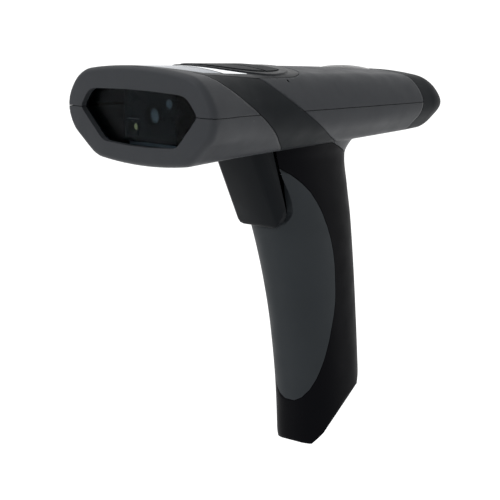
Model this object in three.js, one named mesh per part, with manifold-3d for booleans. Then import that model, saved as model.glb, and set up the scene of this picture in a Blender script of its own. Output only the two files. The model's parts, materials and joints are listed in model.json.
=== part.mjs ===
// A cordless handheld barcode scanner with a pistol grip, as an assembly of separate pieces.
//
// Lengths are in millimetres and +Z is up. The pieces are laid out from the middle of the nose face:
// x runs across, y runs from the nose back to the tail, and z = 0 is the split line at the nose.
// The finished group is then moved so that its origin is the middle of the hand grip.

import * as THREE from "three";
import { mergeVertices } from "three/addons/utils/BufferGeometryUtils.js";
import Module from "manifold-3d";

const wasm = await Module();
wasm.setup();

// ---------------------------------------------------------------- driving dimensions

const HEAD_LENGTH = 172.5;
const WALL = 2.5;              // thickness of the grey head shells
const SKIN = 1.0;              // thickness of the soft side bands, the tail bumper and the top bezel
const GAP = 0.3;               // clearance between neighbouring pieces
const SKIN_SEAT = SKIN + GAP;  // depth of the recess that a skin lies in
const SPLIT_SLOPE = -0.042;    // the split between the head shells falls towards the tail
const NOSE_LEAN = -0.049;      // the nose face leans forward at the top
const NOSE_LEAN_END = 40;      // and is upright from this far back
const NOSE_ROUND = 3;          // rounded outer edge of the nose face
const TAIL_START = 152;        // where the tail begins to close
const TAIL_MIDDLE = -8.5;      // height that the tail closes towards

const HANDLE_WALL = 2.2;
const HANDLE_SQUARENESS = 2.4; // exponent of the handle's rounded section: 2 would be an ellipse
const HANDLE_TILT = 0.164;     // angle of the handle's axis from upright, in radians
const GRIP_CENTRE = new THREE.Vector3(0, 104, -80);

const BUTT_SLOPE = 0.7;         // the butt's flat underside rises this much per millimetre towards the rear
const BUTT_FRONT = { y: 92.3, z: -154.6 };
const BUTT_REAR = 132.5;

const TRIGGER_PIVOT = new THREE.Vector3(0, 58, -12);
const TRIGGER_HALF_WIDTH = 12.5;
const TRIGGER_WALL = 1.8;
const PIN_RADIUS = 1.25;

const KEY_RISE = 0.9;          // height of the keys above the head's top surface
const ISLAND_RISE = 0.5;       // height of the raised rim around them

// The head's section at five places along it. The corners of each half run from the top middle
// round to the bottom middle: shoulder, side (on the split), crease and lower edge.
const headSections = [
  { y: 0, crest: 16.9, shoulder: [31.2, 14.2], side: 40.0, crease: [35.0, -9.4], edge: [24.2, -18.9], keel: -21.0 },
  { y: 40, crest: 14.2, shoulder: [26.4, 11.2], side: 34.0, crease: [31.4, -9.7], edge: [23.9, -18.5], keel: -19.7 },
  { y: 90, crest: 10.9, shoulder: [26.2, 8.6], side: 32.8, crease: [31.0, -10.6], edge: [23.9, -18.7], keel: -19.4 },
  { y: 140, crest: 6.9, shoulder: [25.2, 4.7], side: 31.2, crease: [29.4, -11.4], edge: [23.2, -18.7], keel: -19.3 },
  { y: TAIL_START, crest: 5.8, shoulder: [24.8, 3.6], side: 30.6, crease: [28.8, -11.5], edge: [22.6, -18.6], keel: -19.2 },
];
const headStations = [NOSE_ROUND, 18, 40, 65, 90, 115, 140, TAIL_START, 159, 165, 169.5, HEAD_LENGTH];

// The handle's section at nine heights: half width, front and rear.
const handleSections = [
  { z: -17, half: 22.8, front: 61, rear: 126 },
  { z: -21, half: 20.6, front: 61, rear: 119.4 },
  { z: -26, half: 18.8, front: 61.5, rear: 116.9 },
  { z: -40, half: 17.7, front: 68.5, rear: 119.5 },
  { z: -53, half: 17.0, front: 74.0, rear: 122.4 },
  { z: -79, half: 16.1, front: 82.4, rear: 126.0 },
  { z: -101, half: 15.6, front: 87.3, rear: 128.3 },
  { z: -129, half: 15.5, front: 91.2, rear: 130.4 },
  { z: -156, half: 15.7, front: 93.0, rear: 131.8 },
];

// ---------------------------------------------------------------- materials

function plastic(color, roughness) {
  return new THREE.MeshStandardMaterial({ color, roughness, metalness: 0 });
}

function metal(color, roughness) {
  return new THREE.MeshStandardMaterial({ color, roughness, metalness: 1 });
}

const materials = {
  housing: () => plastic(0x4b4e52, 0.48),
  softBlack: () => plastic(0x1f2326, 0.6),
  bezel: () => plastic(0x2a2d30, 0.4),
  grip: () => plastic(0x303438, 0.55),
  handle: () => plastic(0x14181b, 0.5),
  trigger: () => plastic(0x1b1f22, 0.45),
  key: () => plastic(0x202326, 0.5),
  diffuser: () => plastic(0xf2f4f6, 0.35),
  statusWindow: () => plastic(0xa9b0b8, 0.15),
  smokyLens: () => plastic(0x15181a, 0.12),
  glass: () => new THREE.MeshStandardMaterial({ color: 0x20262a, roughness: 0.05, transparent: true, opacity: 0.3 }),
  black: () => plastic(0x101214, 0.5),
  silicone: () => plastic(0x8d9196, 0.7),
  board: () => plastic(0x1e5a3a, 0.5),
  chip: () => plastic(0x17181a, 0.5),
  phosphor: () => plastic(0xd9dc8a, 0.4),
  lens: () => plastic(0x2a3440, 0.05),
  steel: () => metal(0xb9bcc0, 0.35),
  brass: () => metal(0xd2a64c, 0.3),
  cell: () => plastic(0x3a5a86, 0.4),
};

// ---------------------------------------------------------------- solids

// A closed three.js geometry as a solid that can be joined and cut.
function solid(geometry, matrix) {
  const bare = geometry.clone();
  bare.deleteAttribute("normal");
  bare.deleteAttribute("uv");
  if (matrix) bare.applyMatrix4(matrix);
  const merged = mergeVertices(bare, 1e-4);
  return new wasm.Manifold(
    new wasm.Mesh({
      numProp: 3,
      vertProperties: new Float32Array(merged.attributes.position.array),
      triVerts: new Uint32Array(merged.index.array),
    }),
  );
}

function meshGeometry(body) {
  const mesh = body.getMesh();
  const geometry = new THREE.BufferGeometry();
  geometry.setAttribute("position", new THREE.BufferAttribute(new Float32Array(mesh.vertProperties), 3));
  geometry.setIndex(new THREE.BufferAttribute(new Uint32Array(mesh.triVerts), 1));
  geometry.computeVertexNormals();
  return geometry;
}

function join(first, ...others) {
  return others.reduce((body, other) => body.add(other), first);
}

function cut(first, ...others) {
  return others.reduce((body, other) => body.subtract(other), first);
}

const at = (x, y, z) => new THREE.Matrix4().makeTranslation(x, y, z);

function box([x0, x1], [y0, y1], [z0, z1], matrix) {
  const place = at((x0 + x1) / 2, (y0 + y1) / 2, (z0 + z1) / 2);
  if (matrix) place.premultiply(matrix);
  return solid(new THREE.BoxGeometry(x1 - x0, y1 - y0, z1 - z0), place);
}

// A round bar of the given radius between two points.
function rod(radius, from, to, sides = 12) {
  const start = new THREE.Vector3(...from);
  const along = new THREE.Vector3(...to).sub(start);
  const turn = new THREE.Quaternion().setFromUnitVectors(new THREE.Vector3(0, 1, 0), along.clone().normalize());
  const middle = start.addScaledVector(along, 0.5);
  const place = new THREE.Matrix4().compose(middle, turn, new THREE.Vector3(1, 1, 1));
  return solid(new THREE.CylinderGeometry(radius, radius, along.length(), sides), place);
}

// A body of revolution about y, from [radius, y] points that start and end on the axis.
function turned(profile, matrix, sides = 24) {
  const points = profile.map(([radius, y]) => new THREE.Vector2(radius, y));
  return solid(new THREE.LatheGeometry(points, sides), matrix);
}

// An outline given as [y, z] and run across x, as [x, y] and run up, or as [x, z] and run along y.
const acrossX = new THREE.Matrix4().set(0, 0, 1, 0, 1, 0, 0, 0, 0, 1, 0, 0, 0, 0, 0, 1);
const alongY = new THREE.Matrix4().makeRotationX(Math.PI / 2);

function extrude(shape, from, to, basis, curveSegments = 8) {
  const geometry = new THREE.ExtrudeGeometry(shape, { depth: to - from, bevelEnabled: false, curveSegments });
  const matrix = at(0, 0, from);
  if (basis) matrix.premultiply(basis);
  return solid(geometry, matrix);
}

const sideOutline = (shape, from, to) => extrude(shape, from, to, acrossX);
const planOutline = (shape, from, to, curveSegments) => extrude(shape, from, to, undefined, curveSegments);

function polygon(points) {
  return new THREE.Shape(points.map(([u, v]) => new THREE.Vector2(u, v)));
}

// A lofted solid through rings of equal length, closed by a fan at each end.
function loft(rings) {
  const count = rings[0].length;
  const positions = rings.flat().flatMap((point) => [point.x, point.y, point.z]);
  const triangles = [];
  for (let row = 0; row < rings.length - 1; row += 1) {
    for (let i = 0; i < count; i += 1) {
      const a = row * count + i;
      const b = row * count + ((i + 1) % count);
      triangles.push(a, b, b + count, a, b + count, a + count);
    }
  }
  const centreOf = (ring) => ring.reduce((sum, point) => sum.add(point), new THREE.Vector3()).divideScalar(count);
  const firstCentre = positions.length / 3;
  for (const ring of [rings[0], rings[rings.length - 1]]) positions.push(...centreOf(ring).toArray());
  const lastRow = (rings.length - 1) * count;
  for (let i = 0; i < count; i += 1) {
    const next = (i + 1) % count;
    triangles.push(firstCentre, next, i, firstCentre + 1, lastRow + i, lastRow + next);
  }
  const geometry = new THREE.BufferGeometry();
  geometry.setAttribute("position", new THREE.Float32BufferAttribute(positions, 3));
  geometry.setIndex(triangles);
  const body = solid(geometry);
  if (body.volume() > 0) return body;
  const flipped = triangles.map((_, i) => triangles[i - (i % 3) + [0, 2, 1][i % 3]]);
  geometry.setIndex(flipped);
  return solid(geometry);
}

// ---------------------------------------------------------------- sections

const mix = THREE.MathUtils.lerp;

// The numbers of a list of sections, blended between the two that lie on each side of a place.
function sectionAt(sections, key, place) {
  const sign = Math.sign(sections[1][key] - sections[0][key]);
  let index = sections.findIndex((section) => sign * (section[key] - place) >= 0);
  if (index < 0) index = sections.length - 1;
  index = Math.max(index, 1);
  const before = sections[index - 1];
  const after = sections[index];
  const t = THREE.MathUtils.clamp((place - before[key]) / (after[key] - before[key]), 0, 1);
  const blended = {};
  for (const name of Object.keys(before)) {
    const value = before[name];
    blended[name] = Array.isArray(value) ? value.map((v, i) => mix(v, after[name][i], t)) : mix(value, after[name], t);
  }
  return blended;
}

// Moves every edge of an outline inwards by `inset`. The corners, {u, v, reach}, run clockwise.
function insetCorners(corners, inset) {
  const count = corners.length;
  const inwardNormal = (from, to) => new THREE.Vector2(to.v - from.v, from.u - to.u).normalize();
  return corners.map((corner, i) => {
    const before = inwardNormal(corners[(i + count - 1) % count], corner);
    const after = inwardNormal(corner, corners[(i + 1) % count]);
    const scale = inset / (1 + before.dot(after));
    const halfTurn = Math.acos(THREE.MathUtils.clamp(before.dot(after), -1, 1)) / 2;
    return {
      u: corner.u + scale * (before.x + after.x),
      v: corner.v + scale * (before.y + after.y),
      reach: Math.max(corner.reach - Math.tan(halfTurn) * inset, 0.4),
      steps: corner.steps,
    };
  });
}

// The points of an outline whose corners are rounded by a curve that starts `reach` before each one.
// Two corners that reach for more than the edge between them share it in proportion.
function roundedPoints(corners, steps) {
  const count = corners.length;
  const points = [];
  corners.forEach((corner, i) => {
    const here = new THREE.Vector2(corner.u, corner.v);
    const towards = (other) => {
      const offset = new THREE.Vector2(other.u, other.v).sub(here);
      const share = Math.min(1, (0.98 * offset.length()) / (corner.reach + other.reach));
      return here.clone().addScaledVector(offset.normalize(), corner.reach * share);
    };
    const start = towards(corners[(i + count - 1) % count]);
    const end = towards(corners[(i + 1) % count]);
    points.push(...new THREE.QuadraticBezierCurve(start, here, end).getPoints(corner.steps ?? steps));
  });
  return points;
}

const mirrored = (half) => [...half, ...half.slice(1, -1).reverse().map((c) => ({ ...c, u: -c.u }))];

// How far the tail has closed at y, as factors on the section's width and height.
function tailClosing(y) {
  const t = THREE.MathUtils.clamp((y - TAIL_START) / (HEAD_LENGTH - TAIL_START), 0, 1);
  const width = Math.max((1 - t ** 2.4) ** (1 / 2.4), 0.34);
  const height = 1 - 0.78 * t ** 1.6;
  return { width, height };
}

function headCorners(y) {
  const s = sectionAt(headSections, "y", y);
  const softness = THREE.MathUtils.smoothstep(y, 0, 45);
  const crown = 1.65; // a corner in the middle stands this much higher than the curve under it
  const side = SPLIT_SLOPE * y;
  const half = [
    { u: 0, v: s.shoulder[1] + (s.crest - s.shoulder[1]) * crown, reach: 30, steps: 4 },
    { u: s.shoulder[0], v: s.shoulder[1], reach: mix(8, 9, softness), steps: 3 },
    { u: s.side, v: side, reach: mix(8.5, 6, softness), steps: 3 },
    { u: s.crease[0], v: s.crease[1], reach: mix(2, 3, softness), steps: 1 },
    { u: s.edge[0], v: s.edge[1], reach: mix(4, 3, softness), steps: 2 },
    { u: 0, v: s.edge[1] + (s.keel - s.edge[1]) * crown, reach: 30, steps: 3 },
  ];
  const closing = tailClosing(y);
  const narrowed = half.map((corner) => ({
    u: corner.u * closing.width,
    v: mix(TAIL_MIDDLE, corner.v, closing.height),
    reach: corner.reach * closing.width,
    steps: corner.steps,
  }));
  return mirrored(narrowed);
}

function headRing(y, placeY, inset) {
  const lean = NOSE_LEAN * THREE.MathUtils.clamp(1 - y / NOSE_LEAN_END, 0, 1);
  const points = roundedPoints(insetCorners(headCorners(y), inset));
  return points.map((point) => new THREE.Vector3(point.x, placeY + lean * point.y, point.y));
}

// The head's outer form, moved inwards by `inset` all over.
const headForms = new Map();
function headForm(inset) {
  if (!headForms.has(inset)) {
    const placed = (y) => inset + (y * (HEAD_LENGTH - 2 * inset)) / HEAD_LENGTH;
    const nose = [headRing(0, inset, inset + NOSE_ROUND * 0.8), headRing(0, inset + NOSE_ROUND * 0.3, inset + NOSE_ROUND * 0.25)];
    const rings = headStations.map((y) => headRing(y, placed(y), inset));
    headForms.set(inset, loft([...nose, ...rings]));
  }
  return headForms.get(inset);
}

const headLayer = (outer, inner) => cut(headForm(outer), headForm(inner));

// The top surface's height on the middle line, for standing pieces on it.
const crestAt = (y) => sectionAt(headSections, "y", y).crest;

function handleRing(z, inset) {
  const s = sectionAt(handleSections, "z", z);
  const count = 28;
  const power = 2 / HANDLE_SQUARENESS;
  const halfDepth = (s.rear - s.front) / 2 - inset;
  const bulge = (value) => Math.sign(value) * Math.abs(value) ** power;
  return Array.from({ length: count }, (_, i) => {
    const angle = ((i + 0.5) / count) * 2 * Math.PI;
    const x = (s.half - inset) * bulge(Math.cos(angle));
    const y = (s.front + s.rear) / 2 + halfDepth * bulge(Math.sin(angle));
    return new THREE.Vector3(x, y, z);
  });
}

function handleForm(inset, top, bottom) {
  const heights = handleSections.map((section) => section.z).filter((z) => z < top && z > bottom);
  return loft([top, ...heights, bottom].map((z) => handleRing(z, inset)));
}

// ---------------------------------------------------------------- dividing lines

// Everything above (or below) the split between the head shells.
function splitSide(above, gap) {
  const far = 80;
  const line = (y) => SPLIT_SLOPE * y + gap;
  const ends = above ? far : -far;
  return sideOutline(polygon([[-20, line(-20)], [200, line(200)], [200, ends], [-20, ends]]), -60, 60);
}

// The rear edge of the dark bands falls across the head and runs on round the back of the handle.
const bandRear = new THREE.QuadraticBezierCurve(
  new THREE.Vector2(31, 20),
  new THREE.Vector2(60, -12),
  new THREE.Vector2(125, -30),
);

// Everything ahead of the bands' rear edge, and behind their slanting front edge.
function bandRegion(grow) {
  const front = grow * 1.65; // the slanting edge moves this far ahead to stand `grow` off
  const shape = new THREE.Shape();
  shape.moveTo(2.4 - front, 20);
  shape.quadraticCurveTo(27.6 - front, 0.6, 66 - front, -25);
  shape.lineTo(66 - front, -40);
  shape.lineTo(125 + grow, -40);
  const edge = bandRear.getPoints(14).reverse();
  for (const point of edge) shape.lineTo(point.x + grow * 0.7, point.y + grow * 0.7);
  return sideOutline(shape, -60, 60);
}

// The grey part of the head and neck that lies behind the bands.
function rearRegion(grow) {
  const shape = new THREE.Shape();
  const edge = bandRear.getPoints(14);
  shape.moveTo(200, 60);
  shape.lineTo(edge[0].x - grow, 60);
  for (const point of edge) shape.lineTo(point.x - grow * 0.7, point.y - grow * 0.7);
  shape.lineTo(200, -36 - grow);
  return sideOutline(shape, -60, 60);
}

// The bumper's front edge bows back at the split line.
function tailRegion(grow) {
  const shape = new THREE.Shape();
  shape.moveTo(139.5 - grow, 14);
  shape.quadraticCurveTo(151.5 - grow, -7.5, 136.5 - grow, -26);
  shape.lineTo(200, -26);
  shape.lineTo(200, 14);
  return sideOutline(shape, -60, 60);
}

// The dark panel on top: a bowed front close to the nose, straight sides and a round rear.
function panelShape(grow) {
  const half = 24 + grow;
  const shape = new THREE.Shape();
  shape.moveTo(-half, 13);
  shape.quadraticCurveTo(-half * 0.55, 1.2 - grow, 0, 1.2 - grow);
  shape.quadraticCurveTo(half * 0.55, 1.2 - grow, half, 13);
  shape.lineTo(half, 60);
  shape.bezierCurveTo(half, 71, 15 + grow, 77.5 + grow, 0, 77.5 + grow);
  shape.bezierCurveTo(-15 - grow, 77.5 + grow, -half, 71, -half, 60);
  return shape;
}

const TOP = [0, 40]; // heights between which the top panel's outlines cut
const ELLIPSE_SEGMENTS = 18; // an ellipse gets twice as many sides
const ISLAND = { y: 52.6, halfWidth: 22.6, halfLength: 23.4 };
const STATUS_REAR = 24.5;
const STRIP_HALF_WIDTH = 20.4;

function ellipseOutline(y, halfWidth, halfLength) {
  const shape = new THREE.Shape().absellipse(0, y, halfWidth, halfLength, 0, 2 * Math.PI);
  return planOutline(shape, ...TOP, ELLIPSE_SEGMENTS);
}

// The raised rim around the keys, and each smaller outline inside it.
function islandOutline(inset) {
  const { y, halfWidth, halfLength } = ISLAND;
  return ellipseOutline(y, halfWidth - inset, halfLength - inset);
}

// The status window follows the panel's bowed front.
function statusOutline(grow) {
  const half = STRIP_HALF_WIDTH + grow;
  const shape = new THREE.Shape();
  shape.moveTo(-half, 14.2);
  shape.quadraticCurveTo(-half * 0.5, 4 - grow, 0, 4 - grow);
  shape.quadraticCurveTo(half * 0.5, 4 - grow, half, 14.2);
  shape.lineTo(half, STATUS_REAR + grow);
  shape.lineTo(-half, STATUS_REAR + grow);
  return planOutline(shape, ...TOP);
}

// The light bar fills the space between the status window and the raised rim.
function lightBarOutline(grow) {
  const half = STRIP_HALF_WIDTH + grow;
  const front = STATUS_REAR + 1.6 - grow;
  const rear = 39 + grow;
  const strip = planOutline(polygon([[-half, front], [half, front], [half, rear], [-half, rear]]), ...TOP);
  return cut(strip, islandOutline(grow - 1.2));
}

const KEY_RIM = 3.4;  // width of the raised rim
const KEYS = [
  { name: "front_key", y: 43.5, from: 20, to: 50.6 },
  { name: "rear_key", y: 57.5, from: 51.8, to: 62.4 },
];

function keyOutline({ from, to }, grow) {
  return islandOutline(KEY_RIM - grow).intersect(box([-30, 30], [from - grow, to + grow], TOP));
}

const INDICATOR = { y: 129, halfWidth: 8, halfLength: 16.5, rise: 1.2, fall: 0.087 };

function indicatorOutline(grow) {
  const { y, halfWidth, halfLength } = INDICATOR;
  return ellipseOutline(y, halfWidth + grow, halfLength + grow);
}

// The window opening in the nose, and larger outlines around it; everything in it leans with the face.
const openingCorners = mirrored([
  { u: 0, v: 8.6, reach: 20 },
  { u: 24.6, v: 7.2, reach: 3 },
  { u: 30, v: 0, reach: 2 },
  { u: 18.9, v: -12.3, reach: 2.5 },
  { u: 0, v: -14.1, reach: 20 },
]);

function openingOutline(grow, from, to) {
  const leaning = alongY.clone().premultiply(new THREE.Matrix4().makeShear(0, 0, 0, 0, 0, NOSE_LEAN));
  const shape = new THREE.Shape(roundedPoints(insetCorners(openingCorners, -grow), 3));
  return extrude(shape, -to, -from, leaning);
}

// The handle is cut off by a flat underside that sweeps up into its rear and has round side edges.
function buttRegion(raise) {
  const rise = BUTT_SLOPE * (BUTT_REAR - BUTT_FRONT.y);
  const side = [
    { u: 40, v: 0, reach: 0.4 },
    { u: BUTT_REAR, v: 0, reach: 0.4 },
    { u: BUTT_REAR, v: BUTT_FRONT.z + rise + raise, reach: 36 },
    { u: BUTT_FRONT.y, v: BUTT_FRONT.z + raise, reach: 9 },
  ];
  const front = mirrored([
    { u: 0, v: 60, reach: 0.4 },
    { u: 30, v: 60, reach: 0.4 },
    { u: 30, v: raise + 20, reach: 0.4 },
    { u: 16, v: raise + 14, reach: 0.4 },
    { u: 16, v: raise, reach: 13 },
    { u: 0, v: raise, reach: 0.4 },
  ]);
  const sloping = new THREE.Matrix4().makeShear(0, 0, 0, BUTT_SLOPE, 0, 0);
  const place = at(0, BUTT_FRONT.y, BUTT_FRONT.z).multiply(sloping).multiply(alongY);
  const sweep = sideOutline(new THREE.Shape(roundedPoints(side, 8)), -40, 40);
  const edges = extrude(new THREE.Shape(roundedPoints(front, 4)), -60, 60, place);
  return sweep.intersect(join(edges, box([-40, 40], [40, 140], [-110, 0])));
}

// The grey front of the handle ends in an arc above its widest place and a long sweep below it.
function gripRegion(grow) {
  const widest = { y: 102.2 + grow, z: -85 };
  const radius = 65 + grow;
  const shape = new THREE.Shape();
  shape.moveTo(widest.y - radius, widest.z + radius);
  shape.absarc(widest.y - radius, widest.z, radius, Math.PI / 2, 0, true);
  shape.quadraticCurveTo(103 + grow, -101 - grow * 0.3, 90.5 + grow, -135 - grow * 0.5);
  shape.lineTo(widest.y - radius, -135 - grow * 0.5);
  return sideOutline(shape, -60, 60);
}

// ---------------------------------------------------------------- the trigger's form

const triggerCorners = [
  { u: 52.2, v: -8.5, reach: 2 },
  { u: 63, v: -8.5, reach: 2 },
  { u: 63.1, v: -17, reach: 2 },
  { u: 73.9, v: -48.6, reach: 3 },
  { u: 70.6, v: -54.6, reach: 3 },
  { u: 51.8, v: -17, reach: 2 },
];
const TRIGGER_SLOPE = 0.497; // the front face moves back this far for each millimetre down
const TRIGGER_TOP = -17;     // where it leaves the head
const TRIGGER_FRONT = 51.8;
const SWITCH_HEIGHT = -28.5;

const TRIGGER_BOTTOM = -54;  // its lowest point, between two round corners

// The trigger seen from the front, with round lower corners.
function triggerFace(inset) {
  const half = TRIGGER_HALF_WIDTH - inset;
  const corners = [
    { u: half, v: TRIGGER_BOTTOM + inset, reach: 9 },
    { u: -half, v: TRIGGER_BOTTOM + inset, reach: 9 },
    { u: -half, v: 0, reach: 0.4 },
    { u: half, v: 0, reach: 0.4 },
  ];
  return extrude(new THREE.Shape(roundedPoints(corners, 5)), -100, -30, alongY);
}

// The trigger seen from above: round front corners and straight sides, run down along its slope.
function triggerColumn(inset) {
  const half = TRIGGER_HALF_WIDTH;
  const corners = [
    { u: half, v: 0, reach: 6.5 },
    { u: 0, v: -0.9, reach: 8 },
    { u: -half, v: 0, reach: 6.5 },
    { u: -half, v: 60, reach: 0.4 },
    { u: half, v: 60, reach: 0.4 },
  ];
  const shear = new THREE.Matrix4().makeShear(0, 0, 0, 0, 0, -TRIGGER_SLOPE);
  const place = at(0, TRIGGER_FRONT, TRIGGER_TOP).multiply(shear);
  const shape = new THREE.Shape(roundedPoints(insetCorners(corners, inset), 5));
  return extrude(shape, -60, 20, place);
}

function triggerOutline(grow) {
  return new THREE.Shape(roundedPoints(insetCorners(triggerCorners, -grow), 4));
}

// The room that the handle leaves for the trigger and its travel.
function triggerWell() {
  const travel = 3.4;
  const clearance = 0.5;
  const half = TRIGGER_HALF_WIDTH + clearance;
  const outline = triggerOutline(clearance);
  const front = sideOutline(outline, -half, half);
  const back = sideOutline(new THREE.Shape(outline.getPoints().map((p) => new THREE.Vector2(p.x + travel, p.y))), -half, half);
  return join(front, back);
}

const TRIGGER_SLOT = box([-13.1, 13.1], [51.2, 65.4], [-24, -14]);

// ---------------------------------------------------------------- fixings

const TAIL_SCREWS = [[-15, 130], [15, 130]];
const NECK_SCREWS = [[-12.6, 100], [12.6, 100]];
const BOARD_SCREWS = [[-20, 74], [20, 74], [-20, 116], [20, 116]];
const ENGINE_SCREWS = [[-9, 31], [9, 31]];
const PLATE_SCREWS = [-7.2, 7.2]; // across the butt's charging plate
const CONTACTS = [-3.4, 0, 3.4];  // between the screws
const PLATE = { y: 103, halfWidth: 8.8, halfLength: 6.4, proud: 0.4, depth: 2.2 };
const BOARD_TOP = -4.2;
const BOARD_BOTTOM = BOARD_TOP - 1.6;
const BRACKET_TOP = -12.7;
const BRACKET_BOTTOM = -13.9;
const KEY_BOARD_TOP = 7.6;
const DOME_HEIGHT = 2.4;
const TOUCH = 0.05;   // between pieces that rest flat on each other

const upright = (x, y, z) => at(x, y, z).multiply(new THREE.Matrix4().makeRotationX(Math.PI / 2));
const lengthwise = new THREE.Matrix4().makeTranslation(0, 104.5, -88).multiply(new THREE.Matrix4().makeRotationX(HANDLE_TILT));
const buttTilt = new THREE.Matrix4().makeRotationX(Math.atan(BUTT_SLOPE));
const buttPlace = at(0, PLATE.y, BUTT_FRONT.z + BUTT_SLOPE * (PLATE.y - BUTT_FRONT.y)).multiply(buttTilt);

// A pan-head screw pointing up (or down) from under its head at height z, with a cross recess.
function screw(x, y, z, { head, headHeight, shank, length, up, matrix }) {
  const direction = up ? 1 : -1;
  const driver = head * 0.55;
  const depth = headHeight * 0.6;
  const outerFace = z - direction * headHeight;
  const slot = [outerFace - direction, outerFace + direction * depth].sort((a, b) => a - b);
  const body = join(
    turned([[0, 0], [head, 0], [head, headHeight * 0.5], [head * 0.75, headHeight], [0, headHeight]], screwPlace(x, y, z, up), 12),
    rod(shank, [x, y, z - direction * 0.2], [x, y, z + direction * length], 8),
  );
  const recess = join(
    box([x - driver, x + driver], [y - 0.25, y + 0.25], slot),
    box([x - 0.25, x + 0.25], [y - driver, y + driver], slot),
  );
  const finished = cut(body, recess);
  return matrix ? solid(meshGeometry(finished), matrix) : finished;
}

function screwPlace(x, y, z, up) {
  return at(x, y, z).multiply(new THREE.Matrix4().makeRotationX(up ? -Math.PI / 2 : Math.PI / 2));
}

// ---------------------------------------------------------------- the assembly

const scanner = new THREE.Group();
scanner.position.copy(GRIP_CENTRE).negate();

function piece(name, body, material) {
  const mesh = new THREE.Mesh(meshGeometry(body), material());
  mesh.name = name;
  scanner.add(mesh);
}

const UNDERSIDE_HALF = 21; // the bands stop this far from the middle under the head

function bandUnderside(shrink) {
  return box([-UNDERSIDE_HALF + shrink, UNDERSIDE_HALF - shrink], [20, 140], [-40, -12]);
}

buildHeadShells();
buildBandsAndBumper();
buildTopPanel();
buildWindow();
buildEngine();
buildElectronics();
buildHandle();
buildTrigger();
buildButt();

// The head: two hollow shells, with recesses for every skin that lies on them.
function buildHeadShells() {
  const recess = join(
    cut(bandRegion(GAP), bandUnderside(GAP)),
    tailRegion(GAP),
    planOutline(panelShape(GAP), ...TOP),
    indicatorOutline(GAP),
  );
  const outer = join(cut(headForm(0), recess), headForm(SKIN_SEAT));
  const shell = cut(outer, headForm(WALL), openingOutline(0, -6, 8));

  const keyHoles = KEYS.map(({ y }) => rod(3.2, [0, y, 2], [0, y, 30]));
  const resetHole = rod(0.6, [20, 57, 8.6], [40, 57, 8.6], 8);
  const upperBosses = TAIL_SCREWS.map(([x, y]) => rod(3.1, [x, y, -5.2], [x, y, 5.6]));
  const upperHoles = TAIL_SCREWS.map(([x, y]) => rod(1.45, [x, y, -6], [x, y, 1.5]));
  const upper = join(shell.intersect(splitSide(true, 0)), ...upperBosses);
  piece("upper_housing", cut(upper, ...keyHoles, ...upperHoles, resetHole), materials.housing);

  const collar = cut(
    handleForm(0, -16.5, -33).intersect(rearRegion(0)),
    headForm(WALL - 0.5),
    handleForm(HANDLE_WALL, -16, -34),
  );
  const floor = -17.4;
  const post = ([x, y], radius, top) => rod(radius, [x, y, floor], [x, y, top]);
  const posts = [
    ...TAIL_SCREWS.map((place) => post(place, 4.2, -6.2)),
    ...NECK_SCREWS.map((place) => post(place, 3, -10)),
    ...BOARD_SCREWS.map((place) => post(place, 2.6, BOARD_BOTTOM - GAP)),
    ...ENGINE_SCREWS.map((place) => post(place, 2.6, BRACKET_BOTTOM - GAP)),
  ];
  const holes = [
    ...TAIL_SCREWS.map(([x, y]) => join(rod(2.9, [x, y, -24], [x, y, -12.5]), rod(1.6, [x, y, -13], [x, y, 0]))),
    ...NECK_SCREWS.map(([x, y]) => rod(1.5, [x, y, -24], [x, y, -11.5])),
    ...BOARD_SCREWS.map(([x, y]) => rod(1.3, [x, y, -13], [x, y, 0])),
    ...ENGINE_SCREWS.map(([x, y]) => rod(1.3, [x, y, -17], [x, y, 0])),
    box([-10, 10], [72, 108], [-30, -14]),
    TRIGGER_SLOT,
  ];
  const lower = join(shell.intersect(splitSide(false, -GAP)), collar, ...posts);
  piece("lower_housing", cut(lower, ...holes), materials.housing);

  for (const [x, y] of TAIL_SCREWS) {
    const sizes = { head: 2.4, headHeight: 1.7, shank: 1.2, length: 11.5, up: true };
    piece(x < 0 ? "tail_screw_left" : "tail_screw_right", screw(x, y, -12.9, sizes), materials.steel);
  }
}

// The soft dark bands on the head's two sides, and the rubber bumper over the tail.
function buildBandsAndBumper() {
  const skin = headLayer(0, SKIN);
  const wrap = cut(skin.intersect(bandRegion(0)), planOutline(panelShape(2 * GAP), ...TOP), bandUnderside(0));
  piece("left_band", wrap.intersect(box([-60, 0], [-20, 200], [-60, 60])), materials.softBlack);
  piece("right_band", wrap.intersect(box([0, 60], [-20, 200], [-60, 60])), materials.softBlack);
  piece("tail_bumper", cut(skin.intersect(tailRegion(0)), indicatorOutline(GAP)), materials.softBlack);
}

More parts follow.
